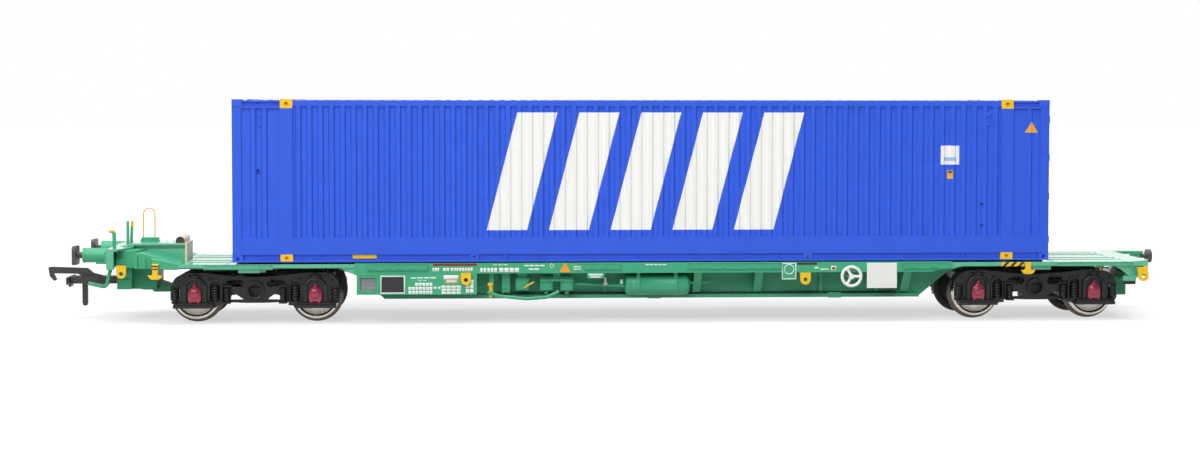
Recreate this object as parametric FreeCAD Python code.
"""Model bogie container flat with a 45 ft container, OO scale (1:76.2).

Frame, in millimetres: X runs along the wagon, +X to the low inner end, Y across it, Z up.
Z = 0 is the surface that the wheel flanges stand on, X = 0 is the middle of the container,
and Y = 0 is the centre line.  "Near" is the -Y side and "far" is the +Y side.

Bodies: the wagon with its container, two bogies, four wheelsets, a coupling and its hook.
"""
import FreeCAD
import Part
import os
from math import pi, cos, sin

V = FreeCAD.Vector

# ---- driving dimensions -------------------------------------------------------------
# wheels and bogies
FLANGE_RADIUS = 5.85
TREAD_RADIUS = 5.15
WHEEL_WIDTH = 2.8
FLANGE_THICKNESS = 0.7
BACK_TO_BACK = 14.4
AXLE_RADIUS = 0.75
WHEELBASE = 26.3
BOGIE_HALF_LENGTH = 18.3
FRAME_INSIDE = 11.3
FRAME_THICKNESS = 1.3
FRAME_TOP = 11.15
FRAME_WAIST_TOP = 10.25
FRAME_FOOT = 3.5
FRAME_SHELF = 0.7
SPRING_RADIUS = 1.0
SMALL_SPRING_RADIUS = 0.75
SPRING_OFFSET = 4.4
SMALL_SPRING_OFFSET = 7.05
SPRING_SEAT = 4.9
SPRING_TOP = 7.7
ARCH_RISE = 0.6
BOSS_Z = 7.35
BOSS_RADIUS = 2.05
BOSS_HOLE_RADIUS = 1.45
TRANSOM_BOTTOM = 8.0
TRANSOM_HALF_LENGTH = 3.2
PIVOT_RADIUS = 1.5
PIVOT_SEAT_RADIUS = 3.6
BEARING_CLEARANCE = 0.05
SEAT_GAP = 0.3

# container
CONTAINER_LENGTH = 180.0
CONTAINER_WIDTH = 32.8
CONTAINER_HEIGHT = 35.5
WALL = 1.1
RIB_PITCH = 2.4
RIB_WIDTH = 0.85
RIB_SLOPE = 0.3
RIB_DEPTH = 0.35
POST_WIDTH = 2.0
LIFT_WIDTH = 2.7
CASTING_DEPTH = 2.1
CASTING_PROUD = 0.05
ROOF_HEIGHT = 0.25
TOP_RAIL_HEIGHT = 1.1
BAND_HEIGHT = 5.4
CHANNEL_DEPTH = 0.5
PAD_HEIGHT = 0.45

# along the wagon, from the ends of the container
STOP_ROOM = 11.8
NECK_LENGTH = 15.9
OUTER_PIVOT_INSET = 16.3
OUTER_BEAM_ROOM = 21.8
LOW_END_ROOM = 18.9
HEADSTOCK_LENGTH = 3.7
INNER_PIVOT_INSET = 20.7
INNER_BEAM_ROOM = 19.8
OUTER_LIFT_INSET = 10.4
INNER_LIFT_INSET = 10.8

# wagon body, heights below and above the deck
DECK_HALF_WIDTH = 16.4
DECK_TOP = 13.3
DECK_THICKNESS = 0.7
RAIL_DROP = 0.95
RAIL_THICKNESS = 0.7
SILL_RISE = 0.15
SILL_HEIGHT = 2.0
SILL_THICKNESS = 0.6
SILL_FLANGE_WIDTH = 2.2
SILL_FLANGE_THICKNESS = 0.3
BEAM_Y = 9.5
BEAM_WEB = 0.7
BEAM_FLANGE_WIDTH = 3.0
BEAM_FLANGE_THICKNESS = 0.45
BEAM_BOTTOM = 5.15
BEAM_FOOT_THICKNESS = 0.8
BEAM_TOP_DROP = 0.3
BEAM_SLOPE_RUN = 6.3
BEAM_END_RISE = 10.4
BEAM_TAPER = 5.3
HEADSTOCK_HALF_WIDTH = 13.6
HEADSTOCK_RISE = 3.2
HEADSTOCK_HEIGHT = 4.5
HEADSTOCK_PLATE = 0.5
SPINE_HALF_WIDTH = 4.85
SPINE_RISE = 0.7
NECK_WEB = 4.4
PIVOT_SEAT_DROP = 1.3
BUFFER_Y = 11.5
BUFFER_DROP = 1.4
BUFFER_REACH = 7.3

# coupling
POCKET_LENGTH = 8.2
COUPLING_PIVOT_RADIUS = 0.8
COUPLING_Z0 = 8.0
COUPLING_Z1 = 9.6
HOOK_REACH = 10.2
HOOK_PIVOT_Z = 8.9
HOOK_PIN_RADIUS = 0.4
HOOK_THICKNESS = 0.8
DRAWBAR_EYE_RADIUS = 0.8
LOOP_Y = 3.8
INNER_BUFFER_Y = 12.0
SHELF_TOP = 10.1
SOCKET_TOP = 9.0
TANK_INSET = 3.4
PLINTH_HEIGHT = 0.8

# ---- values that follow -------------------------------------------------------------
AXLE_Z = FLANGE_RADIUS
WHEEL_BACK = BACK_TO_BACK / 2
WHEEL_FRONT = WHEEL_BACK + WHEEL_WIDTH
FRAME_OUTSIDE = FRAME_INSIDE + FRAME_THICKNESS
HALF_LENGTH = CONTAINER_LENGTH / 2
HALF_WIDTH = CONTAINER_WIDTH / 2
NECK_FOOT_X = -HALF_LENGTH - STOP_ROOM
NECK_FRONT_X = NECK_FOOT_X - NECK_LENGTH
BOGIE_OUTER_X = NECK_FOOT_X + OUTER_PIVOT_INSET
BEAM_OUTER_X = BOGIE_OUTER_X + OUTER_BEAM_ROOM
DECK_INNER_END = HALF_LENGTH + LOW_END_ROOM
INNER_END_X = DECK_INNER_END + HEADSTOCK_LENGTH
BOGIE_INNER_X = DECK_INNER_END - INNER_PIVOT_INSET
BEAM_INNER_X = BOGIE_INNER_X - INNER_BEAM_ROOM
BOGIES = {"outer": BOGIE_OUTER_X, "inner": BOGIE_INNER_X}
LIFT_OUTER_X = -HALF_LENGTH + OUTER_LIFT_INSET
LIFT_INNER_X = HALF_LENGTH - INNER_LIFT_INSET
DECK_UNDER = DECK_TOP - DECK_THICKNESS
RAIL_BOTTOM = DECK_TOP - RAIL_DROP
SILL_TOP = DECK_TOP + SILL_RISE
SILL_BOTTOM = SILL_TOP - SILL_HEIGHT
SILL_UNDER = SILL_BOTTOM - SILL_FLANGE_THICKNESS
BEAM_TOP = DECK_TOP - BEAM_TOP_DROP
BEAM_FOOT_TOP = BEAM_BOTTOM + BEAM_FOOT_THICKNESS
BEAM_FACE_Y = BEAM_Y + BEAM_WEB / 2
HEADSTOCK_TOP = DECK_TOP + HEADSTOCK_RISE
HEADSTOCK_BOTTOM = HEADSTOCK_TOP - HEADSTOCK_HEIGHT
HEADSTOCK_UNDER = HEADSTOCK_TOP - HEADSTOCK_PLATE
SPINE_TOP = HEADSTOCK_TOP + SPINE_RISE
BUFFER_Z = HEADSTOCK_TOP - BUFFER_DROP
POCKET_X0 = NECK_FRONT_X + 1.5
POCKET_X1 = POCKET_X0 + POCKET_LENGTH
COUPLING_PIVOT_X = POCKET_X0 + 5.5
HOOK_PIVOT_X = COUPLING_PIVOT_X - HOOK_REACH
DRAWBAR_EYE_X = DECK_INNER_END + 1.5
CONTAINER_BOTTOM = DECK_TOP + PAD_HEIGHT
CONTAINER_TOP = CONTAINER_BOTTOM + CONTAINER_HEIGHT
CHANNEL_BOTTOM = CONTAINER_BOTTOM + 0.45
CHANNEL_TOP = CHANNEL_BOTTOM + 1.2
BAND_TOP = CONTAINER_BOTTOM + BAND_HEIGHT
RAIL_TOP = CONTAINER_TOP - ROOF_HEIGHT - 0.1
TOP_RAIL_BOTTOM = RAIL_TOP - TOP_RAIL_HEIGHT
SIDES = {"near": -1, "far": 1}


# ---- small helpers ------------------------------------------------------------------
def box(x0, x1, y0, y1, z0, z1):
    """A block between three pairs of coordinates, given in any order."""
    low = V(min(x0, x1), min(y0, y1), min(z0, z1))
    return Part.makeBox(abs(x1 - x0), abs(y1 - y0), abs(z1 - z0), low)


def prism(points, direction):
    """Extrude a closed outline of 3-D points."""
    wire = Part.makePolygon(points + [points[0]])
    return Part.Face(wire).extrude(direction)


def prism_xz(outline, y0, y1):
    """Extrude an outline of (x, z) points from y0 to y1."""
    return prism([V(x, y0, z) for x, z in outline], V(0, y1 - y0, 0))


def prism_xy(outline, z0, z1):
    """Extrude an outline of (x, y) points from z0 to z1."""
    return prism([V(x, y, z0) for x, y in outline], V(0, 0, z1 - z0))


def prism_yz(outline, x0, x1):
    """Extrude an outline of (y, z) points from x0 to x1."""
    return prism([V(x0, y, z) for y, z in outline], V(x1 - x0, 0, 0))


def rod(radius, start, end):
    """A round bar between two points."""
    axis = V(*end) - V(*start)
    return Part.makeCylinder(radius, axis.Length, V(*start), axis)


def ring_of_revolution(profile, centre_x, centre_z):
    """Turn a closed outline of (radius, y) points about a Y axis at (centre_x, centre_z)."""
    wire = Part.makePolygon([V(centre_x + r, y, centre_z) for r, y in profile + [profile[0]]])
    return Part.Face(wire).revolve(V(centre_x, 0, centre_z), V(0, 1, 0), 360)


def mirrored(shape):
    """The same shape on the other side of the wagon."""
    return shape.mirror(V(0, 0, 0), V(0, 1, 0))


def both_sides(shapes):
    """The given near-side shapes and their far-side copies."""
    return shapes + [mirrored(shape) for shape in shapes]


def moved(shape, x=0.0, y=0.0, z=0.0):
    """A copy of a shape, shifted."""
    copy = shape.copy()
    copy.translate(V(x, y, z))
    return copy


def joined(shapes):
    """One shape from touching ones, with the seams between flush faces removed."""
    whole = shapes[0].fuse(shapes[1:]) if len(shapes) > 1 else shapes[0]
    return whole.removeSplitter()


def bent_pipe(radius, points, bend):
    """A round pipe through points, with each corner turned by an arc of radius bend."""
    corners = [V(*p) for p in points]
    edges = []
    start = corners[0]
    for before, corner, after in zip(corners, corners[1:], corners[2:]):
        into = (before - corner).normalize()
        out = (after - corner).normalize()
        half_turn = (pi - into.getAngle(out)) / 2
        trim = bend * sin(half_turn) / cos(half_turn)
        arc_start = corner + into * trim
        arc_end = corner + out * trim
        middle = (into + out).normalize() * (bend / cos(half_turn) - bend) + corner
        edges.append(Part.makeLine(start, arc_start))
        edges.append(Part.Arc(arc_start, middle, arc_end).toShape())
        start = arc_end
    edges.append(Part.makeLine(start, corners[-1]))
    path = Part.Wire(edges)
    section = Part.Wire(Part.makeCircle(radius, corners[0], corners[1] - corners[0]))
    return path.makePipeShell([section], True, False)


def save(node, shapes):
    """Write one node; shapes is a list of solids that don't touch each other."""
    solids = [solid for shape in shapes for solid in shape.Solids]
    assert solids and all(solid.isValid() for solid in solids), node
    Part.makeCompound(solids).exportStep(f"parts/{node}.step")
    print(f"{node:28s} {len(solids):2d} solids {sum(s.Volume for s in solids):9.2f} mm3")


# ---- wheelsets ----------------------------------------------------------------------
def wheelset(axle_x):
    """Two flanged wheels and the axle that carries them."""
    hub = AXLE_RADIUS + BEARING_CLEARANCE / 2
    back = WHEEL_BACK
    front = WHEEL_FRONT
    root = back + FLANGE_THICKNESS
    rim_inside = TREAD_RADIUS - 1.0
    rim_face = rim_inside + 0.45
    dish = 0.45
    boss = 1.5
    profile = [
        (hub, back), (boss, back), (boss + 0.3, back + dish), (rim_inside, back + dish),
        (rim_inside + 0.2, back), (FLANGE_RADIUS - 0.3, back), (FLANGE_RADIUS, back + 0.25),
        (FLANGE_RADIUS, back + 0.4), (TREAD_RADIUS, root), (TREAD_RADIUS - 0.08, front - 0.15),
        (TREAD_RADIUS - 0.2, front), (rim_face, front), (rim_inside, front - dish),
        (boss + 0.3, front - dish), (boss, front - 0.1), (hub, front - 0.1)]
    wheel = ring_of_revolution(profile, axle_x, AXLE_Z)
    journal = FRAME_OUTSIDE - 0.35
    axle = rod(AXLE_RADIUS, (axle_x, -journal, AXLE_Z), (axle_x, journal, AXLE_Z))
    return both_sides([wheel]), [axle]


# ---- bogies -------------------------------------------------------------------------
def axle_places(pivot_x):
    """The X of a bogie's two axles."""
    return [pivot_x - WHEELBASE / 2, pivot_x + WHEELBASE / 2]


def side_web(pivot_x):
    """One cast side frame: arched over both wheels, notched at each end for a spring."""
    half = BOGIE_HALF_LENGTH
    axle = WHEELBASE / 2
    tie_bottom = FRAME_FOOT + 1.05
    notch = axle + SPRING_OFFSET - SPRING_RADIUS - 0.15
    right = [
        (2.0, tie_bottom), (axle - 6.0, tie_bottom + 0.2), (axle - 4.4, FRAME_FOOT),
        (axle + 4.4, FRAME_FOOT), (axle + 4.6, SPRING_SEAT - 0.5), (half, SPRING_SEAT - 0.45),
        (half, SPRING_SEAT), (notch, SPRING_SEAT), (notch, SPRING_TOP), (half, SPRING_TOP),
        (half, FRAME_TOP - 2.95), (half - 0.35, FRAME_TOP - 1.85), (half - 1.0, FRAME_TOP - 0.95),
        (half - 2.0, FRAME_TOP - 0.35), (half - 3.4, FRAME_TOP), (half - 7.0, FRAME_TOP),
        (6.0, FRAME_WAIST_TOP + 0.25)]
    left = [(-x, z) for x, z in reversed(right)]
    outline = [(0.0, tie_bottom)] + right + [(0.0, FRAME_WAIST_TOP)] + left
    outline = [(pivot_x + x, z) for x, z in outline]
    return prism_xz(outline, -FRAME_INSIDE, -FRAME_OUTSIDE)


def side_windows(pivot_x):
    """The openings in one side frame: the boss hole, two long holes and two triangles go
    through, and the arch for each inner spring is blind."""
    y0 = -FRAME_INSIDE + 1.0
    y1 = -FRAME_OUTSIDE - 2.0
    blind = -FRAME_INSIDE - 0.3
    high = BOSS_Z + 1.5
    arch_radius = SPRING_RADIUS + 0.1
    arch_spring = SPRING_TOP + ARCH_RISE
    cuts = [rod(BOSS_HOLE_RADIUS, (pivot_x, y0, BOSS_Z), (pivot_x, y1, BOSS_Z))]
    for side in (-1, 1):
        long_hole = [(3.5, high + 0.9), (5.8, high + 0.65), (5.8, high - 0.65), (3.5, high - 0.9)]
        cuts.append(prism_xz([(pivot_x + side * x, z) for x, z in long_hole], y0, y1))
        for x, radius in ((3.5, 0.9), (5.8, 0.65)):
            cuts.append(rod(radius, (pivot_x + side * x, y0, high), (pivot_x + side * x, y1, high)))
        triangle = [(5.4, 6.2), (4.2, 6.45), (2.4, 5.25), (5.4, 5.2)]
        cuts.append(prism_xz([(pivot_x + side * x, z) for x, z in triangle], y0, y1))
        arch_x = pivot_x + side * (WHEELBASE / 2 - SPRING_OFFSET)
        cuts.append(box(arch_x - arch_radius, arch_x + arch_radius, blind, y1,
                        SPRING_SEAT, arch_spring))
        cuts.append(rod(arch_radius, (arch_x, blind, arch_spring), (arch_x, y1, arch_spring)))
    return cuts


def bogie_frame(pivot_x):
    """Two side frames joined by a transom with the pivot hole."""
    face = -FRAME_OUTSIDE
    inside = face + 0.2
    shelf_y = face - 1.6
    shelf_top = FRAME_FOOT + FRAME_SHELF
    rim = SPRING_RADIUS + 0.5
    boss = rod(BOSS_RADIUS, (pivot_x, inside, BOSS_Z), (pivot_x, face - 0.5, BOSS_Z))
    near = [side_web(pivot_x), boss]
    for axle_x in axle_places(pivot_x):
        side = 1 if axle_x > pivot_x else -1
        for guide_x in (axle_x - 2.2, axle_x + 2.2):
            near.append(box(guide_x - 0.4, guide_x + 0.4, inside, face - 0.7, shelf_top, 8.6))
        near.append(box(axle_x - side * 4.2, axle_x + side * 4.6, inside, shelf_y,
                        FRAME_FOOT, shelf_top))
        small_x = axle_x - side * SMALL_SPRING_OFFSET
        near.append(box(small_x - 0.85, small_x + 0.85, inside, shelf_y,
                        SPRING_SEAT - 0.4, SPRING_SEAT))
        near.append(box(axle_x - 1.5, axle_x + 1.5, inside, face - 0.4, 10.2, 10.6))
        near.append(box(axle_x - 0.7, axle_x + 0.7, inside, face - 0.4, 9.2, 10.2))
        arch_x = axle_x - side * SPRING_OFFSET
        arch_top = SPRING_TOP + ARCH_RISE
        near.append(box(arch_x - rim, arch_x + rim, inside, face - 0.3, FRAME_FOOT + 0.5, arch_top))
        near.append(rod(rim, (arch_x, inside, arch_top), (arch_x, face - 0.3, arch_top)))
    near = joined(near)
    near = near.cut(side_windows(pivot_x))
    bearing = AXLE_RADIUS + BEARING_CLEARANCE
    for axle_x in axle_places(pivot_x):
        near = near.cut(rod(bearing, (axle_x, -FRAME_INSIDE + 0.5, AXLE_Z),
                            (axle_x, -FRAME_OUTSIDE + 0.25, AXLE_Z)))
    transom_top = DECK_UNDER - PIVOT_SEAT_DROP - SEAT_GAP
    transom = box(pivot_x - TRANSOM_HALF_LENGTH, pivot_x + TRANSOM_HALF_LENGTH,
                  -FRAME_INSIDE, FRAME_INSIDE, TRANSOM_BOTTOM, FRAME_WAIST_TOP - 0.1)
    seat = rod(PIVOT_SEAT_RADIUS, (pivot_x, 0, TRANSOM_BOTTOM), (pivot_x, 0, transom_top))
    hole = rod(PIVOT_RADIUS + BEARING_CLEARANCE, (pivot_x, 0, 0), (pivot_x, 0, FRAME_TOP + 5))
    frame = joined([near, mirrored(near), transom, seat])
    return frame.cut(hole)


def axle_boxes(pivot_x):
    """The four red axle boxes, each with a peaked top, on the outside of the frames."""
    shapes = []
    foot = FRAME_FOOT + FRAME_SHELF
    face = -FRAME_OUTSIDE
    for axle_x in axle_places(pivot_x):
        outline = [(-1.35, foot), (1.35, foot), (1.45, 5.6), (1.4, 7.0), (1.15, 7.7), (0.75, 8.1),
                   (0.4, 8.3), (0.2, 9.1), (-0.2, 9.1), (-0.4, 8.3), (-0.75, 8.1), (-1.15, 7.7),
                   (-1.4, 7.0), (-1.45, 5.6)]
        block = prism_xz([(axle_x + x, z) for x, z in outline], face, face - 1.2)
        cap = rod(1.2, (axle_x, face - 1.0, AXLE_Z + 0.5), (axle_x, face - 1.5, AXLE_Z + 0.5))
        shapes.append(joined([block, cap]))
    return both_sides(shapes)


def spring_places(pivot_x):
    """The springs of one side: x, y, radius, foot and top of each."""
    places = []
    nest_y = -FRAME_INSIDE - 0.3 - SPRING_RADIUS
    small = SMALL_SPRING_RADIUS
    small_y = -FRAME_OUTSIDE - small - 0.05
    for axle_x in axle_places(pivot_x):
        side = 1 if axle_x > pivot_x else -1
        places.append((axle_x + side * SPRING_OFFSET, nest_y, SPRING_RADIUS, SPRING_SEAT, SPRING_TOP))
        places.append((axle_x - side * SPRING_OFFSET, nest_y, SPRING_RADIUS, SPRING_SEAT,
                       SPRING_TOP + ARCH_RISE))
        places.append((axle_x - side * SMALL_SPRING_OFFSET, small_y, small, SPRING_SEAT,
                       SPRING_TOP + 0.2))
    return places


def coil_springs(pivot_x):
    """Twelve springs, three beside each axle box, as turned stacks of coils."""
    shapes = []
    coils = 5
    for x, y, radius, foot, top in spring_places(pivot_x):
        rise = (top - foot) / coils
        core = rod(radius * 0.72, (x, y, foot), (x, y, top))
        turns = [rod(radius, (x, y, foot + (i + 0.25) * rise), (x, y, foot + (i + 0.8) * rise))
                 for i in range(coils)]
        shapes.append(joined([core] + turns))
    return both_sides(shapes)


def pivot_screws():
    """The shouldered screws that hold the bogies to the wagon and let them swing."""
    shapes = []
    head_top = TRANSOM_BOTTOM - SEAT_GAP
    for pivot_x in BOGIES.values():
        shank = rod(PIVOT_RADIUS, (pivot_x, 0, head_top), (pivot_x, 0, DECK_UNDER - PIVOT_SEAT_DROP))
        head = rod(2.6, (pivot_x, 0, head_top - 0.9), (pivot_x, 0, head_top))
        shapes.append(joined([shank, head]))
    return shapes


# ---- wagon body ---------------------------------------------------------------------
def pivot_seat(pivot_x):
    """The round pad under a deck that a bogie turns against, on a bolster across the deck."""
    inside = DECK_HALF_WIDTH - RAIL_THICKNESS
    pad = rod(4.2, (pivot_x, 0, DECK_UNDER - PIVOT_SEAT_DROP), (pivot_x, 0, DECK_UNDER))
    bolster = box(pivot_x - 2.6, pivot_x + 2.6, -inside, inside, DECK_UNDER - 1.1, DECK_UNDER)
    return joined([pad, bolster])


def deck_outer():
    """The low deck over the outer bogie, with its side rails, lips and pivot seat."""
    x0 = NECK_FOOT_X
    x1 = BEAM_OUTER_X
    w = DECK_HALF_WIDTH
    slope = x1 - 2.8
    plate = box(x0, x1, -w, w, DECK_UNDER, DECK_TOP)
    rail = prism_xz([(x0, RAIL_BOTTOM), (slope, RAIL_BOTTOM), (x1, SILL_BOTTOM - 0.3),
                     (x1, DECK_TOP), (x0, DECK_TOP)], -w, -w + RAIL_THICKNESS)
    edge = prism_xz([(x0, RAIL_BOTTOM), (slope, RAIL_BOTTOM), (x1, SILL_BOTTOM - 0.3),
                     (x1, SILL_BOTTOM), (slope, RAIL_BOTTOM + 0.3), (x0, RAIL_BOTTOM + 0.3)],
                    -w - 0.2, -w)
    lip = box(BOGIE_OUTER_X - 10.7, BOGIE_OUTER_X + 4.2, -w, -w - 0.35, RAIL_BOTTOM - 0.2,
              DECK_TOP - 0.05)
    block = box(BOGIE_OUTER_X - 3.3, BOGIE_OUTER_X + 1.4, -w, -w + 1.0, RAIL_BOTTOM - 0.9,
                RAIL_BOTTOM)
    return joined([plate, pivot_seat(BOGIE_OUTER_X)] + both_sides([rail, edge, lip, block]))


def deck_inner():
    """The low deck over the inner bogie and out to the inner headstock."""
    x0 = BEAM_INNER_X
    x1 = DECK_INNER_END
    w = DECK_HALF_WIDTH
    plate = box(x0, x1, -w, w, DECK_UNDER, DECK_TOP)
    rail = prism_xz([(x0, SILL_BOTTOM + 0.4), (x0 + 1.7, RAIL_BOTTOM), (x1, RAIL_BOTTOM),
                     (x1, DECK_TOP), (x0, DECK_TOP)], -w, -w + RAIL_THICKNESS)
    lip = box(x1 - 16.9, x1 - 0.2, -w, -w - 0.35, RAIL_BOTTOM, DECK_TOP - 0.05)
    gusset = prism_xz([(x1 - 3.5, RAIL_BOTTOM), (x1, RAIL_BOTTOM), (x1, SHELF_TOP),
                       (x1 - 0.6, SHELF_TOP)],
                      -w, -w + RAIL_THICKNESS)
    return joined([plate, pivot_seat(BOGIE_INNER_X)] + both_sides([rail, lip, gusset]))


def side_sill(side):
    """The channel along one side between the two low decks, with its raised flaps."""
    w = DECK_HALF_WIDTH
    x0 = BEAM_OUTER_X
    x1 = BEAM_INNER_X
    step = x1 - 3.9
    web = prism_xz([(x0, SILL_BOTTOM), (step, SILL_BOTTOM), (x1, SILL_BOTTOM + 0.4),
                    (x1, SILL_TOP), (x0, SILL_TOP)], -w, -w + SILL_THICKNESS)
    flange = box(x0, step, -w, -w + SILL_FLANGE_WIDTH, SILL_UNDER, SILL_BOTTOM)
    top = box(x0, x1, -w, -w + SILL_FLANGE_WIDTH, SILL_TOP - SILL_FLANGE_THICKNESS, SILL_TOP)
    flaps = []
    for flap_x0, flap_x1 in ((x0 + 2.8, -47.6), (-13.2, -5.3), (9.7, 30.4), (x1 - 11.1, x1)):
        flaps.append(box(flap_x0, flap_x1, -w, -w - 0.3, SILL_BOTTOM + 0.45, SILL_TOP - 0.15))
    whole = joined([web, flange, top] + flaps)
    return whole if side < 0 else mirrored(whole)


def main_beam(side):
    """One fishbelly beam: a web with flanges, its ends cut away towards the bogies."""
    run = BEAM_SLOPE_RUN
    rise = BEAM_END_RISE
    taper = BEAM_TAPER
    tip = DECK_UNDER - 0.4
    x0 = BEAM_OUTER_X
    x1 = BEAM_INNER_X
    y = -BEAM_Y
    half_web = BEAM_WEB / 2
    half_flange = BEAM_FLANGE_WIDTH / 2
    web = prism_xz([(x0, BEAM_TOP), (x0, DECK_UNDER), (x0 - taper, DECK_UNDER), (x0 - taper, tip),
                    (x0, rise), (x0 + run, BEAM_BOTTOM), (x1 - run, BEAM_BOTTOM), (x1, rise),
                    (x1 + taper, tip), (x1 + taper, DECK_UNDER), (x1, DECK_UNDER), (x1, BEAM_TOP)],
                   y - half_web, y + half_web)
    bottom = box(x0 + run, x1 - run, y - half_flange, y + half_flange,
                 BEAM_BOTTOM, BEAM_FOOT_TOP)
    top = box(x0, x1, y - half_flange, y + half_flange, BEAM_TOP - BEAM_FLANGE_THICKNESS, BEAM_TOP)
    whole = joined([web, bottom, top])
    return whole if side < 0 else mirrored(whole)


def cross_member_places():
    """The X of the cross members, evenly spaced between the two low decks."""
    count = 8
    first = BEAM_OUTER_X + 8.0
    last = BEAM_INNER_X - 8.0
    return [first + i * (last - first) / (count - 1) for i in range(count)]


def cross_members():
    """Channels that tie the main beams together and carry the side sills."""
    shapes = []
    web_face = BEAM_Y - BEAM_WEB / 2
    top = BEAM_TOP - BEAM_FLANGE_THICKNESS
    for x in cross_member_places():
        shapes.append(box(x - 1.0, x + 1.0, -web_face, web_face, 8.2, top))
        stub = box(x - 1.0, x + 1.0, -DECK_HALF_WIDTH + SILL_THICKNESS, -BEAM_FACE_Y,
                   SILL_BOTTOM, top)
        shapes += both_sides([stub])
    return shapes


def brackets():
    """Slanted stays from the foot of each main beam up to the side sill."""
    shapes = []
    outer = -DECK_HALF_WIDTH + SILL_FLANGE_WIDTH
    web_face = -BEAM_FACE_Y
    foot = BEAM_FOOT_TOP + 0.5
    for x in (11.9, 25.5, BEAM_INNER_X - 9.8):
        outline = [(outer, SILL_UNDER), (outer - 1.6, SILL_UNDER), (web_face - 1.4, foot),
                   (web_face, foot), (web_face, SILL_UNDER)]
        shapes.append(prism_yz(outline, x - 0.9, x + 0.9))
    return both_sides(shapes)


# ---- raised outer end ---------------------------------------------------------------
def headstock_outer():
    """The high headstock: front plate, corner posts and a top plate narrowing to the neck."""
    w = HEADSTOCK_HALF_WIDTH
    x = NECK_FRONT_X
    under = HEADSTOCK_UNDER
    front = box(x, x + 0.8, -w, w, HEADSTOCK_BOTTOM, under)
    plan = [(x, -w), (x + 2.4, -w), (x + 4.7, -SPINE_HALF_WIDTH),
            (x + 4.7, SPINE_HALF_WIDTH), (x + 2.4, w), (x, w)]
    top = prism_xy(plan, under, HEADSTOCK_TOP)
    ramp = prism_xz([(x + 1.6, HEADSTOCK_TOP), (x + 4.7, HEADSTOCK_TOP), (x + 4.7, SPINE_TOP)],
                    -SPINE_HALF_WIDTH, SPINE_HALF_WIDTH)
    post = box(x, x + 1.6, -w, -w + 1.2, HEADSTOCK_BOTTOM, under)
    return joined([front, top, ramp] + both_sides([post]))


def neck_spine():
    """The narrow raised spine from the headstock back to the low deck."""
    x0 = NECK_FRONT_X + 0.8
    x1 = NECK_FOOT_X
    web = NECK_WEB
    top_x0 = NECK_FRONT_X + 4.7
    under = HEADSTOCK_UNDER
    body = box(x0, x1, -web, web, DECK_TOP, under)
    neck = box(top_x0, x1, -web + 0.6, web - 0.6, under, SPINE_TOP - 0.5)
    top = box(top_x0, x1, -SPINE_HALF_WIDTH, SPINE_HALF_WIDTH, SPINE_TOP - 0.5, SPINE_TOP)
    hollow = box(x0 + 1.0, x1 - 0.8, -web + 0.7, web - 0.7, DECK_TOP - 1, under - 0.6)
    return joined([body, neck, top]).cut(hollow)


def neck_boxes():
    """The stepped box and the sloping, ribbed shoulder on each side of the spine."""
    web = NECK_WEB
    top = HEADSTOCK_TOP
    x0 = NECK_FRONT_X + 1.6
    x1 = NECK_FRONT_X + 6.1
    foot = NECK_FOOT_X
    floor = HEADSTOCK_BOTTOM + 0.2
    step = top - 2.4
    box_y = -HEADSTOCK_HALF_WIDTH + 3.6
    side_y = -DECK_HALF_WIDTH + 3.4
    flare_y = -DECK_HALF_WIDTH - 0.1
    upper = prism_xy([(x0, -web), (x0, box_y), (x1, box_y), (x1 + 1.3, -web)], step,
                     HEADSTOCK_UNDER)
    ledge = box(x0, x1, -web, box_y - 0.6, floor, step)
    shoulder = prism_xz([(x1, floor), (x1, top - 1.1), (x1 + 1.3, top - 0.95),
                         (foot, DECK_TOP + 0.05), (foot, floor)], -web, side_y)
    ribs = [box(x - 0.3, x + 0.3, side_y, side_y - 0.4, floor, rib_top)
            for x, rib_top in ((x1 + 0.3, top - 1.5), (x1 + 2.1, top - 2.0))]
    plan = [(foot - 6.5, side_y), (foot - 5.6, flare_y), (foot - 3.2, flare_y),
            (foot, -DECK_HALF_WIDTH), (foot, side_y)]
    flare = prism_xy(plan, floor, HEADSTOCK_UNDER)
    above = prism_xz([(x1, top - 1.4), (foot - 3.4, top - 2.35), (foot, DECK_TOP + 0.05),
                      (foot, top + 0.5), (x1, top + 0.5)], side_y + 1.0, flare_y - 0.5)
    return both_sides([joined([upper, ledge, shoulder, flare.cut(above)] + ribs)])


def buffer_housings():
    """The round buffer casings on the high headstock, each on a small foot."""
    x = NECK_FRONT_X
    tube = rod(1.3, (x, -BUFFER_Y, BUFFER_Z), (x - 5.3, -BUFFER_Y, BUFFER_Z))
    foot = box(x, x - 2.4, -BUFFER_Y - 1.0, -BUFFER_Y + 1.0, BUFFER_Z - 1.9, BUFFER_Z)
    bore = rod(0.75, (x - 6, -BUFFER_Y, BUFFER_Z), (x - 3.3, -BUFFER_Y, BUFFER_Z))
    return both_sides([joined([tube, foot]).cut(bore)])


def buffer_heads():
    """Rectangular buffer heads with rounded corners, each on its shank."""
    half_w = 2.6
    half_h = 2.05
    x = NECK_FRONT_X - BUFFER_REACH
    head = box(x, x + 0.8, -BUFFER_Y - half_w, -BUFFER_Y + half_w,
               BUFFER_Z - half_h, BUFFER_Z + half_h)
    upright = [e for e in head.Edges if abs(e.tangentAt(e.FirstParameter).x) > 0.9]
    head = head.makeFillet(0.7, upright)
    shank = rod(0.7, (x + 0.5, -BUFFER_Y, BUFFER_Z),
                (NECK_FRONT_X - 3.3, -BUFFER_Y, BUFFER_Z))
    return both_sides([joined([head, shank])])


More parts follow.
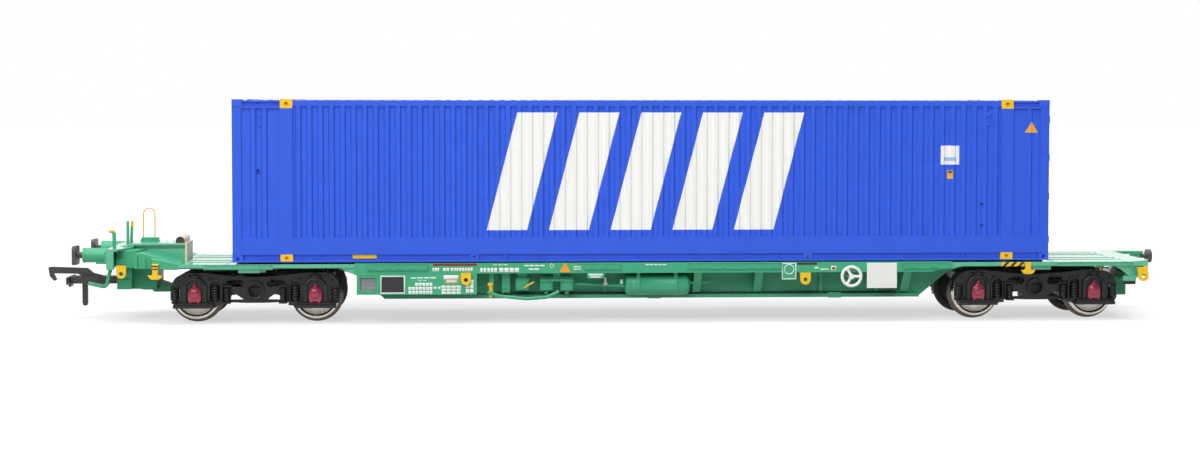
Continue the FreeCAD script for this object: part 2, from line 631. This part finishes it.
def end_stop():
    """The stop plate at the back of the spine, and the half-round pad in front of it."""
    x = NECK_FOOT_X
    w = SPINE_HALF_WIDTH
    radius = 0.95
    pad_x = x - radius - 0.15
    shoulder = SPINE_TOP + 0.55
    plate = box(x, x + 0.45, -w, w, DECK_TOP, SPINE_TOP + 0.1)
    crown = rod(radius, (pad_x, -w, shoulder), (pad_x, w, shoulder))
    crown = crown.common(box(pad_x - 2, pad_x + 2, -w, w, shoulder, shoulder + 2))
    base = box(pad_x - radius, pad_x + radius, -w, w, SPINE_TOP, shoulder)
    return [plate, joined([base, crown])]


def plinth():
    """The low block on the far edge of the neck that carries the loop."""
    x = NECK_FRONT_X
    top = SPINE_TOP + PLINTH_HEIGHT
    outline = [(x + 4.8, SPINE_TOP), (x + 5.1, top), (x + 8.9, top), (x + 8.9, SPINE_TOP)]
    return [prism_xz(outline, LOOP_Y - 0.8, LOOP_Y + 0.8)]


def handrail_loop():
    """The thin wire loop on the plinth."""
    y = LOOP_Y
    foot = SPINE_TOP + PLINTH_HEIGHT
    top = foot + 6.6
    x0 = NECK_FRONT_X + 5.5
    x1 = x0 + 2.5
    return [bent_pipe(0.15, [(x0 - 0.15, y, foot), (x0, y, top), (x1, y, top), (x1, y, foot)], 1.2)]


def uncoupling_levers():
    """A pair of upright levers on the headstock, and the hooked lamp bracket."""
    x = NECK_FRONT_X
    z = HEADSTOCK_TOP
    top = z + 5.1
    shapes = []
    for lever_x, lean, y in ((x + 1.7, 0.0, 4.9), (x + 2.4, 0.15, 5.6)):
        lever = prism_xz([(lever_x - 0.32, z), (lever_x + 0.32, z), (lever_x + 0.26 + lean, top),
                          (lever_x - 0.26 + lean, top)], y, y + 0.6)
        shapes.append(lever)
    post = prism_xz([(x + 0.4, z), (x + 1.1, z), (x + 1.1, z + 3.1), (x + 0.5, z + 3.8),
                     (x - 0.4, z + 3.7), (x - 0.4, z + 3.3), (x + 0.3, z + 3.1)], -7.4, -6.7)
    shapes.append(post)
    return shapes


def brake_hose():
    """The cranked brake pipe that hangs under the high headstock."""
    x = NECK_FRONT_X
    y = -HEADSTOCK_HALF_WIDTH + 2.6
    points = [(x + 0.5, y, HEADSTOCK_BOTTOM - 0.08), (x - 0.4, y, 8.0), (x - 4.3, y, 8.9)]
    return [bent_pipe(0.42, points, 0.9)]


# ---- coupling -----------------------------------------------------------------------
def coupling_pocket():
    """The box under the neck that holds the coupling, with its pivot pin and keeper."""
    half = 5.0
    gap = 0.35
    floor = COUPLING_Z0 - 0.94
    top = HEADSTOCK_BOTTOM + 0.2
    pin_x = COUPLING_PIVOT_X
    wing_x = POCKET_X0 + 3.2
    back = POCKET_X1
    wing_z = COUPLING_Z1 - 0.2
    shell = box(POCKET_X0, back, -half, half, floor, top)
    wing = box(wing_x, POCKET_X0, -half, -8.6, 7.3, wing_z)
    arm = box(wing_x, POCKET_X0, -half, -8.0, wing_z, top)
    cavity = box(POCKET_X0 - 1, back - 0.8, -half + 0.8, half - 0.8,
                 COUPLING_Z0 - gap, COUPLING_Z1 + gap)
    keeper = prism_xz([(back - 1.6, floor), (back - 1.0, 6.2), (back + 2.8, 6.2),
                       (back + 2.8, 7.6), (back, 8.6), (back, floor)], -2.6, 2.6)
    pin = rod(COUPLING_PIVOT_RADIUS, (pin_x, 0, floor - 0.46), (pin_x, 0, COUPLING_Z1 + 1.4))
    screw = rod(1.2, (pin_x - 0.4, 0, floor - 0.46), (pin_x - 0.4, 0, floor + 0.04))
    shell = joined([shell] + both_sides([wing, arm]))
    return [joined([shell.cut(cavity), keeper, pin, screw])]


def coupling_arm():
    """The coupling's flat arm with its thin cross bar, a slot for the hook and the eye."""
    half = 1.7
    slot = HOOK_THICKNESS / 2 + 0.25
    bar_half = 4.6
    x_front = HOOK_PIVOT_X - 7.2
    x_bar = x_front + 0.5
    arm = box(x_bar, COUPLING_PIVOT_X, -half, half, COUPLING_Z0, COUPLING_Z1)
    eye = rod(half, (COUPLING_PIVOT_X, 0, COUPLING_Z0), (COUPLING_PIVOT_X, 0, COUPLING_Z1))
    bar = box(x_front, x_bar, -bar_half, bar_half, COUPLING_Z0, COUPLING_Z1)
    lip = box(x_front, x_bar, -half, half, COUPLING_Z0 - 0.7, COUPLING_Z0)
    pad = box(HOOK_PIVOT_X - 3.6, HOOK_PIVOT_X + 1.4, -half, half, COUPLING_Z0 - 0.35, COUPLING_Z0)
    slot_cut = box(x_bar, HOOK_PIVOT_X + 1.2, -slot, slot, COUPLING_Z0 - 1, COUPLING_Z1 + 1)
    hole = rod(COUPLING_PIVOT_RADIUS + BEARING_CLEARANCE, (COUPLING_PIVOT_X, 0, 0),
               (COUPLING_PIVOT_X, 0, 20))
    pin_hole = rod(HOOK_PIN_RADIUS + BEARING_CLEARANCE, (HOOK_PIVOT_X, -half - 1, HOOK_PIVOT_Z),
                   (HOOK_PIVOT_X, half + 1, HOOK_PIVOT_Z))
    return [joined([arm, eye, bar, lip, pad]).cut([slot_cut, hole, pin_hole])]


def coupling_hook():
    """The lifting hook: beak, bar, hanging tail and the cross pin it turns on."""
    half = HOOK_THICKNESS / 2
    beak = [(-11.9, 2.6), (-11.3, 2.8), (-3.2, 2.5), (-1.9, 1.4), (0.7, 0.7), (0.7, -0.7),
            (-3.2, -0.7), (-3.2, -5.4), (-3.45, -5.95), (-4.15, -5.95), (-4.4, -5.4),
            (-4.4, 0.7), (-5.4, 1.2), (-10.7, 1.3), (-10.0, -0.1), (-10.6, -0.4), (-11.6, 0.7)]
    plate = prism_xz([(HOOK_PIVOT_X + x, HOOK_PIVOT_Z + z) for x, z in beak], -half, half)
    pin_half = 1.6
    pin = rod(HOOK_PIN_RADIUS, (HOOK_PIVOT_X, -pin_half, HOOK_PIVOT_Z),
              (HOOK_PIVOT_X, pin_half, HOOK_PIVOT_Z))
    return [joined([plate, pin])]


# ---- fittings along the sides -------------------------------------------------------
def lashing_plates():
    """Eight yellow plates with an eye, four along each side; the last one leans."""
    shapes = []
    w = DECK_HALF_WIDTH
    hang = SILL_UNDER
    table = (  # x of the left and right edge, height, z of the top, y of the back, lean
        (NECK_FRONT_X + 2.2, NECK_FRONT_X + 4.3, 2.8, HEADSTOCK_BOTTOM + 0.9,
         -HEADSTOCK_HALF_WIDTH + 0.4, 0.0),
        (-40.4, -38.2, 2.6, hang + 0.15, -w, 0.0),
        (34.4, 36.7, 2.6, hang - 0.05, -w, 0.0),
        (DECK_INNER_END + 1.1, DECK_INNER_END + 3.4, 3.2, RAIL_BOTTOM - 0.25, -w, 9.0))
    for x0, x1, height, z1, y, lean in table:
        z0 = z1 - height
        middle = (x0 + x1) / 2
        radius = (x1 - x0) / 2
        plate = joined([box(x0, x1, y, y - 0.6, z0 + radius, z1),
                        rod(radius, (middle, y, z0 + radius), (middle, y - 0.6, z0 + radius))])
        eye = rod(0.45, (middle, y + 1, z0 + radius), (middle, y - 2, z0 + radius))
        plate = plate.cut(eye)
        plate.rotate(V(middle, y, z1), V(0, 1, 0), -lean)
        shapes.append(plate)
    return both_sides(shapes)


def towing_hooks():
    """Four yellow double-armed towing hooks, one near each end of each side."""
    shapes = []
    table = (  # x, z of the top, height, y of the back
        (NECK_FOOT_X - 4.8, DECK_TOP + 0.2, 3.4, -DECK_HALF_WIDTH - 0.1),
        (BOGIE_INNER_X - 2.85, DECK_TOP - 0.05, 2.65, -DECK_HALF_WIDTH))
    for x, top, drop, y in table:
        z = top - drop
        outline = [(x - 0.75, top), (x - 0.55, z + 1.2), (x - 1.0, z + 0.8), (x - 1.6, z + 1.1),
                   (x - 1.25, z + 0.3), (x - 0.7, z), (x + 0.7, z), (x + 1.25, z + 0.3),
                   (x + 1.6, z + 1.1), (x + 1.0, z + 0.8), (x + 0.55, z + 1.2), (x + 0.75, top)]
        shapes.append(prism_xz(outline, y, y - 0.7))
    return both_sides(shapes)


def striped_bars():
    """The striped bar on each side, beside the towing hook of the inner end."""
    y = -DECK_HALF_WIDTH
    x = BOGIE_INNER_X
    return both_sides([box(x - 8.8, x - 3.8, y, y - 0.35, RAIL_BOTTOM, DECK_TOP - 0.05)])


def handwheels():
    """The three-spoked brake handwheels, each on a stub shaft from the main beam."""
    x = 45.8
    z = 10.25
    y = -DECK_HALF_WIDTH - 0.5
    ring = 2.1
    rim = Part.makeTorus(ring, 0.34, V(x, y, z), V(0, 1, 0))
    spokes = []
    for i in range(3):
        angle = i * 2 * pi / 3
        spokes.append(rod(0.32, (x, y, z), (x + ring * cos(angle), y, z + ring * sin(angle))))
    hub = rod(0.6, (x, y - 0.4, z), (x, y + 0.4, z))
    shaft = rod(0.35, (x, y, z), (x, -BEAM_FACE_Y, z))
    return both_sides([joined([rim, hub, shaft] + spokes)])


def equipment_panels():
    """The panel with the data plates and the framed box beside it, on each side."""
    y = -DECK_HALF_WIDTH
    back = y + 0.6
    panel = box(-58.1, -36.9, back, y, 6.5, SILL_UNDER)
    case = box(-63.1, -58.1, y + 2.8, y - 0.15, 6.6, SILL_UNDER)
    screen = box(-62.4, -59.0, y + 0.3, y - 1.0, 7.4, 10.3)
    stay = box(-57.0, -56.0, back, -BEAM_FACE_Y, 9.4, SILL_UNDER)
    return both_sides([joined([panel, case.cut(screen), stay, moved(stay, x=17.0)])])


def air_reservoirs():
    """The air tank on each side, with rounded ends and two straps."""
    x0 = -4.2
    x1 = 10.1
    y = -DECK_HALF_WIDTH + TANK_INSET
    radius = 2.3
    z = 8.35
    tank = rod(radius, (x0, y, z), (x1, y, z))
    ends = [e for e in tank.Edges if e.Curve.TypeId == "Part::GeomCircle"]
    tank = tank.makeFillet(0.9, ends)
    straps = []
    for x in (-1.3, 7.0):
        straps.append(rod(radius + 0.12, (x - 0.4, y, z), (x + 0.4, y, z)))
        straps.append(box(x - 0.4, x + 0.4, y - 1.2, y - 1.9, z + 1.2, SILL_UNDER))
    return both_sides([joined([tank] + straps)])


def brake_gear():
    """The valve boxes, posts and levers in the bay beside the data panel."""
    top = SILL_UNDER
    y = -DECK_HALF_WIDTH + 1.8
    post = [box(-34.2, -33.2, y, y + 1.2, 7.8, top), box(-34.0, -33.3, y, y - 0.5, 5.6, 8.7)]
    plate = [box(-31.4, -29.6, y + 0.5, y + 2.0, 6.6, top)]
    relay = [box(-28.4, -25.4, y, y + 2.4, 7.2, 9.8), box(-28.0, -25.9, y + 0.4, y + 2.2, 9.8, top)]
    valves = [box(-23.0, -20.2, y, y + 2.4, 7.1, 9.7), box(-18.5, -15.7, y, y + 2.4, 7.1, 9.7),
              box(-23.0, -15.7, y + 0.6, y + 2.0, 9.0, 10.2),
              box(-20.2, -18.5, y + 0.6, y + 2.0, 10.2, top)]
    return both_sides([joined(group) for group in (post, plate, relay, valves)])


def brake_pipes():
    """The pipe that sags below the valves, the pipe on to the air tank, and the air line."""
    y = -DECK_HALF_WIDTH + 0.8
    tank_y = -DECK_HALF_WIDTH + TANK_INSET - 0.4
    points = [(-34.6, y, 7.0), (-32.0, y, 6.1), (-26.0, y, 5.5), (-21.6, y, 5.8), (-18.9, y, 7.1)]
    sag = bent_pipe(0.38, points, 2.2)
    run = rod(0.3, (-15.7, tank_y, 8.6), (-4.3, tank_y, 8.0))
    return both_sides([sag, run])


def air_lines():
    """The thin black line along the foot of each main beam, held by clips."""
    radius = 0.22
    y = -BEAM_Y - BEAM_FLANGE_WIDTH / 2 + radius + 0.1
    foot = BEAM_FOOT_TOP
    line = rod(radius, (-33.0, y, foot + radius), (57.0, y, foot + radius))
    clips = [box(x - 0.4, x + 0.4, y - 0.3, y + 0.3, foot, foot + 2 * radius + 0.1)
             for x in (-32.0, -2.0, 20.0, 40.0, 56.0)]
    return both_sides([joined([line] + clips)])


def sign_boards():
    """The blank notice board on each side, hung from the side sill."""
    y = -DECK_HALF_WIDTH
    return both_sides([box(49.3, 56.0, y, y - 0.25, 7.6, SILL_TOP - 0.25)])


# ---- low inner end ------------------------------------------------------------------
def headstock_inner():
    """The low headstock, with corner posts, the shelf below it and the coupler's web."""
    x0 = DECK_INNER_END
    x1 = INNER_END_X
    w = DECK_HALF_WIDTH
    skirt = SHELF_TOP
    body = prism_xz([(x0, RAIL_BOTTOM), (x1, RAIL_BOTTOM), (x1, DECK_TOP + 0.35), (x0, DECK_TOP)],
                    -w, w)
    face = box(x1 - 0.9, x1, -w, w, skirt, RAIL_BOTTOM)
    side = box(x0 + 0.5, x1 - 0.9, -w + 0.4, -w + 1.2, skirt, RAIL_BOTTOM)
    post = box(x0, x0 + 0.5, -w, -w + 1.2, skirt, RAIL_BOTTOM)
    step = box(x0 - 1.9, x0 + 0.9, -w + 0.1, -w + 1.2, SOCKET_TOP, skirt)
    shelf = box(x0 + 0.6, x1, -9.0, 9.0, SOCKET_TOP, skirt)
    web = box(x0 + 0.6, x1 - 0.9, -3.0, 3.0, skirt, RAIL_BOTTOM)
    return [joined([body, face, shelf, web] + both_sides([side, post, step]))]


def drawbar_socket():
    """The central socket with the pin hole for the bar to the wagon's other half."""
    x = DECK_INNER_END
    socket = box(x, x + 3.0, -2.4, 2.4, 4.6, SOCKET_TOP)
    mouth = box(x + 0.5, x + 4.0, -1.6, 1.6, 6.2, 7.6)
    eye = rod(DRAWBAR_EYE_RADIUS, (DRAWBAR_EYE_X, 0, 0), (DRAWBAR_EYE_X, 0, 8.3))
    return [socket.cut([mouth, eye])]


def buffer_inner():
    """The single small round buffer on the far side of the low end, and its bracket."""
    x = INNER_END_X
    y = INNER_BUFFER_Y
    z = RAIL_BOTTOM + 0.05
    stem = rod(0.5, (x + 4.9, y, z), (x + 8.9, y, z))
    head = rod(1.6, (x + 8.6, y, z), (x + 9.6, y, z))
    return [joined([stem, head])]


def buffer_bracket():
    """The bracket beyond the low headstock that holds the single buffer."""
    x = INNER_END_X
    y = INNER_BUFFER_Y
    z = RAIL_BOTTOM + 0.05
    under = z + 0.5
    plan = [(x, y - 2.6), (x + 3.0, y - 1.1), (x + 7.6, y - 1.1), (x + 7.6, y + 1.1), (x, y + 2.6)]
    plate = prism_xy(plan, under, under + 0.7)
    nose = box(x + 4.9, x + 6.9, y - 0.9, y + 0.9, under, z - 0.7)
    bore = rod(0.5, (x + 4.9, y, z), (x + 8.9, y, z))
    return [joined([plate, nose]).cut(bore)]


# ---- container ----------------------------------------------------------------------
def corner_blocks():
    """The outlines of the near-side corner castings: (x0, x1, z0, z1) of each."""
    length = 2.3
    height = 1.55
    blocks = []
    for side_x in (-1, 1):
        for z0, z1 in ((CONTAINER_BOTTOM, CONTAINER_BOTTOM + height),
                       (CONTAINER_TOP - height, CONTAINER_TOP)):
            x1 = side_x * HALF_LENGTH
            blocks.append((x1 - side_x * length, x1, z0, z1))
    return blocks


def lift_places():
    """The outlines of the near-side castings at the 40 ft positions: (x0, x1, z0, z1)."""
    blocks = []
    for x0 in (LIFT_OUTER_X, LIFT_INNER_X):
        blocks.append((x0, x0 + LIFT_WIDTH, CONTAINER_BOTTOM + 0.2, CONTAINER_BOTTOM + 1.7))
        blocks.append((x0, x0 + LIFT_WIDTH, CONTAINER_TOP - 1.9, CONTAINER_TOP + 0.05))
    return blocks


def castings(blocks, holes):
    """Castings on both sides, with a round eye in each outer face if holes is true."""
    shapes = []
    for x0, x1, z0, z1 in blocks:
        shape = box(x0, x1, -HALF_WIDTH - CASTING_PROUD, -HALF_WIDTH + CASTING_DEPTH, z0, z1)
        if holes:
            x = (x0 + x1) / 2
            z = (z0 + z1) / 2
            shape = shape.cut(rod(0.4, (x, -HALF_WIDTH - 1, z), (x, -HALF_WIDTH + 0.7, z)))
        shapes.append(shape)
    return both_sides(shapes)


def even_ribs(x0, x1):
    """The X of ribs at the usual pitch, centred between x0 and x1."""
    count = int((x1 - x0) / RIB_PITCH)
    first = x0 + ((x1 - x0) - (count - 1) * RIB_PITCH) / 2
    return [first + i * RIB_PITCH for i in range(count)]


def ribbed_outline(x0, x1, outer, inner, ribs):
    """Plan of a ribbed panel from x0 to x1: raised ribs on the outer face, flat inside."""
    groove = outer + RIB_DEPTH if outer < inner else outer - RIB_DEPTH
    points = [(x0, inner), (x0, groove)]
    half = RIB_WIDTH / 2
    for x in ribs:
        points += [(x - half - RIB_SLOPE, groove), (x - half, outer),
                   (x + half, outer), (x + half + RIB_SLOPE, groove)]
    return points + [(x1, groove), (x1, inner)]


def container_side(side):
    """One long side: rails, posts, plain lower band and the ribbed panels between posts."""
    outer = -HALF_WIDTH
    inner = outer + WALL
    end = HALF_LENGTH - POST_WIDTH
    flange = box(-end, end, outer, inner, CONTAINER_BOTTOM, CHANNEL_BOTTOM)
    channel = box(-end, end, outer + CHANNEL_DEPTH, inner, CHANNEL_BOTTOM, CHANNEL_TOP)
    band = box(-end, end, outer, inner, CHANNEL_TOP, BAND_TOP)
    rail = box(LIFT_OUTER_X, LIFT_INNER_X + LIFT_WIDTH, outer, inner, TOP_RAIL_BOTTOM, RAIL_TOP)
    lip_bottom = TOP_RAIL_BOTTOM - 0.5
    headers = []
    for x0, x1 in ((-end, LIFT_OUTER_X), (LIFT_INNER_X + LIFT_WIDTH, end)):
        headers.append(box(x0, x1, outer + 0.45, inner, TOP_RAIL_BOTTOM - 0.1, RAIL_TOP))
        headers.append(box(x0, x1, outer, inner, lip_bottom, TOP_RAIL_BOTTOM - 0.1))
    posts = [box(x0, x0 + LIFT_WIDTH, outer - CASTING_PROUD, inner, CONTAINER_BOTTOM, RAIL_TOP)
             for x0 in (LIFT_OUTER_X, LIFT_INNER_X)]
    post_out = LIFT_OUTER_X + LIFT_WIDTH
    post_in = LIFT_INNER_X + LIFT_WIDTH
    outer_ribs = [LIFT_OUTER_X - RIB_PITCH - 3.4, LIFT_OUTER_X - 3.4]
    bays = ((-end, LIFT_OUTER_X, outer_ribs, lip_bottom),
            (post_out, LIFT_INNER_X, even_ribs(post_out, LIFT_INNER_X), TOP_RAIL_BOTTOM),
            (post_in, end, [post_in + 3.6], lip_bottom))
    panels = [prism_xy(ribbed_outline(x0, x1, outer, inner, ribs), BAND_TOP, top)
              for x0, x1, ribs, top in bays]
    whole = joined([flange, channel, band, rail] + headers + posts + panels)
    return whole if side < 0 else mirrored(whole)


def container_end(side_x):
    """One end frame: two corner posts, sill and header around the end panel."""
    x_out = side_x * HALF_LENGTH
    x_in = x_out - side_x * POST_WIDTH
    panel_out = x_out - side_x * 0.4
    panel_in = x_out - side_x * 1.5
    w = HALF_WIDTH
    post = box(x_in, x_out, -w, -w + POST_WIDTH, CONTAINER_BOTTOM, RAIL_TOP)
    sill = box(x_in, x_out, -w, w, CONTAINER_BOTTOM, CONTAINER_BOTTOM + 1.5)
    header = box(x_in, x_out, -w, w, TOP_RAIL_BOTTOM - 0.4, RAIL_TOP)
    panel = box(panel_in, panel_out, -w + 1, w - 1, CONTAINER_BOTTOM + 1, TOP_RAIL_BOTTOM)
    return joined([sill, header, panel] + both_sides([post]))


def door_rods():
    """Locking bars on the door end: four upright bars between the sill and the header."""
    shapes = []
    x = HALF_LENGTH - 0.4 + 0.25
    for y in (-12.0, -4.6):
        shapes.append(rod(0.24, (x, y, CONTAINER_BOTTOM + 1.5), (x, y, TOP_RAIL_BOTTOM - 0.4)))
    return both_sides(shapes)


def container_floor():
    """The floor between the side rails and the end sills."""
    end = HALF_LENGTH - POST_WIDTH
    inside = HALF_WIDTH - WALL
    return box(-end, end, -inside, inside, CONTAINER_BOTTOM, CONTAINER_BOTTOM + 1.2)


def container_roof():
    """The roof sheet between the rails, with ribs across it."""
    end = HALF_LENGTH - POST_WIDTH
    inside = HALF_WIDTH - WALL
    top = RAIL_TOP + ROOF_HEIGHT
    outline = ribbed_outline(-end, end, top, RAIL_TOP - WALL, even_ribs(-end, end))
    return prism_xz(outline, -inside, inside)


def container_pads():
    """The low pads on the decks that the container stands on."""
    shapes = []
    inset = 2.0
    for x in (-HALF_LENGTH + inset, LIFT_OUTER_X + 1.1, LIFT_INNER_X + 1.3, HALF_LENGTH - inset):
        shapes.append(box(x - 1.2, x + 1.2, -14.6, -12.2, DECK_TOP, CONTAINER_BOTTOM))
    return both_sides(shapes)


# ---- write every node ---------------------------------------------------------------
def main():
    os.makedirs("parts", exist_ok=True)
    number = 1
    for name, pivot_x in BOGIES.items():
        save(f"bogie_frame_{name}", [bogie_frame(pivot_x)])
        save(f"axle_boxes_{name}", axle_boxes(pivot_x))
        save(f"coil_springs_{name}", coil_springs(pivot_x))
        for axle_x in axle_places(pivot_x):
            wheels, axle = wheelset(axle_x)
            save(f"wheels_{number}", wheels)
            save(f"axle_{number}", axle)
            number += 1
    save("pivot_screws", pivot_screws())
    save("deck_outer", [deck_outer()])
    save("deck_inner", [deck_inner()])
    for name, side in SIDES.items():
        save(f"side_sill_{name}", [side_sill(side)])
        save(f"main_beam_{name}", [main_beam(side)])
    save("cross_members", cross_members())
    save("sill_brackets", brackets())
    save("headstock_outer", [headstock_outer()])
    save("neck_spine", [neck_spine()])
    save("neck_boxes", neck_boxes())
    save("buffer_housings", buffer_housings())
    save("buffer_heads", buffer_heads())
    save("end_stop", end_stop())
    save("lever_plinth", plinth())
    save("handrail_loop", handrail_loop())
    save("uncoupling_levers", uncoupling_levers())
    save("brake_hose", brake_hose())
    save("coupling_pocket", coupling_pocket())
    save("coupling_arm", coupling_arm())
    save("coupling_hook", coupling_hook())
    save("lashing_plates", lashing_plates())
    save("towing_hooks", towing_hooks())
    save("striped_bars", striped_bars())
    save("handwheels", handwheels())
    save("equipment_panels", equipment_panels())
    save("air_reservoirs", air_reservoirs())
    save("brake_gear", brake_gear())
    save("brake_pipes", brake_pipes())
    save("air_lines", air_lines())
    save("sign_boards", sign_boards())
    save("headstock_inner", headstock_inner())
    save("drawbar_socket", drawbar_socket())
    save("buffer_inner", buffer_inner())
    save("buffer_bracket", buffer_bracket())
    save("corner_fittings", castings(corner_blocks(), holes=True))
    save("lift_blocks", castings(lift_places(), holes=True))
    seats = castings(corner_blocks() + lift_places(), holes=False)
    save("container_end_outer", [container_end(-1).cut(seats)])
    save("container_end_doors", [container_end(1).cut(seats)])
    save("door_rods", door_rods())
    save("container_floor", [container_floor().cut(seats)])
    save("container_roof", [container_roof().cut(seats)])
    for name, side in SIDES.items():
        save(f"container_side_{name}", [container_side(side).cut(seats)])
    save("container_pads", container_pads())


main()
